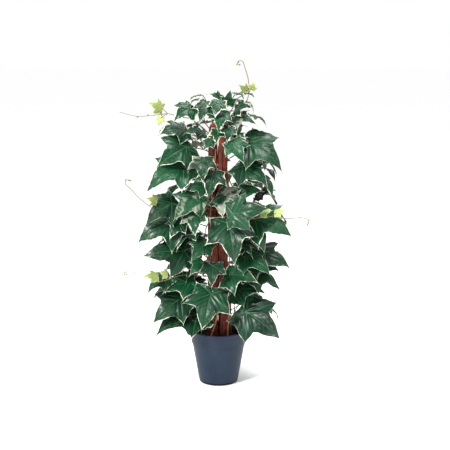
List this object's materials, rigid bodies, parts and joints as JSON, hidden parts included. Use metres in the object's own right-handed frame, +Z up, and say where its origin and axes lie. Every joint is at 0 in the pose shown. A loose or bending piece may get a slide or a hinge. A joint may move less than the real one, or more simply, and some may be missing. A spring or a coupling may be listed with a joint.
{
  "type": "potted ivy",
  "caption": "Climbing ivy of lobed, cream-edged leaves on a bundle of bark canes, with young shoots and curling tendrils, in a tapered plastic pot with a collar.",
  "frame": {"origin": "the middle of the pot's flat base, on the surface that it stands on", "axes": "+Z up along the bundle of canes; -Y is the side that the plant shows best, with the sprays that are placed by hand; +X to the right as seen from there"},
  "size_m": [0.461, 0.3394, 0.817],
  "materials": {
    "pot_plastic": "satin dark slate blue",
    "soil": "matt, near black, crumbly",
    "bark": "matt red-brown, fibrous along its length",
    "vine_skin": "matt orange-brown",
    "leaf": "satin dark bluish green with a cream margin",
    "young_leaf": "satin lime green"
  },
  "bodies": {
    "root": {"cane_1": "bark", "cane_2": "bark", "cane_3": "bark", "cane_4": "bark", "cane_5": "bark", "pot": "pot_plastic", "shoot_low_left": "young_leaf", "shoot_middle_left": "young_leaf", "shoot_middle_right": "young_leaf", "shoot_top_left": "young_leaf", "shoot_top_right": "young_leaf", "soil": "soil", "spray_arched_right": "leaf", "spray_broad_left": "leaf", "spray_broad_middle": "leaf", "spray_crown_front": "leaf", "spray_crown_left": "leaf", "spray_crown_middle": "leaf", "spray_crown_right": "leaf", "spray_crown_top": "leaf", "spray_curled_right": "leaf", "spray_high_inner": "leaf", "spray_high_left": "leaf", "spray_high_middle": "leaf", "spray_long_left": "leaf", "spray_long_right": "leaf", "spray_low_left": "leaf", "spray_low_middle": "leaf", "spray_low_right": "leaf", "spray_low_right_back": "leaf", "spray_middle_left": "leaf", "spray_notched_middle": "leaf", "spray_outer_left": "leaf", "spray_reaching_left": "leaf", "spray_reaching_right": "leaf", "spray_rear_01": "leaf", "spray_rear_02": "leaf", "spray_rear_03": "leaf", "spray_rear_04": "leaf", "spray_rear_05": "leaf", "spray_rear_06": "leaf", "spray_rear_07": "leaf", "spray_rear_08": "leaf", "spray_rear_09": "leaf", "spray_rear_10": "leaf", "spray_rear_11": "leaf", "spray_rear_12": "leaf", "spray_rear_13": "leaf", "spray_rear_14": "leaf", "spray_rear_15": "leaf", "spray_rear_16": "leaf", "spray_rear_17": "leaf", "spray_right_shade": "leaf", "spray_shaded_right": "leaf", "spray_upper_left": "leaf", "spray_upper_middle": "leaf", "vine_1": "vine_skin", "vine_2": "vine_skin", "vine_3": "vine_skin"}
  },
  "joints": []
}
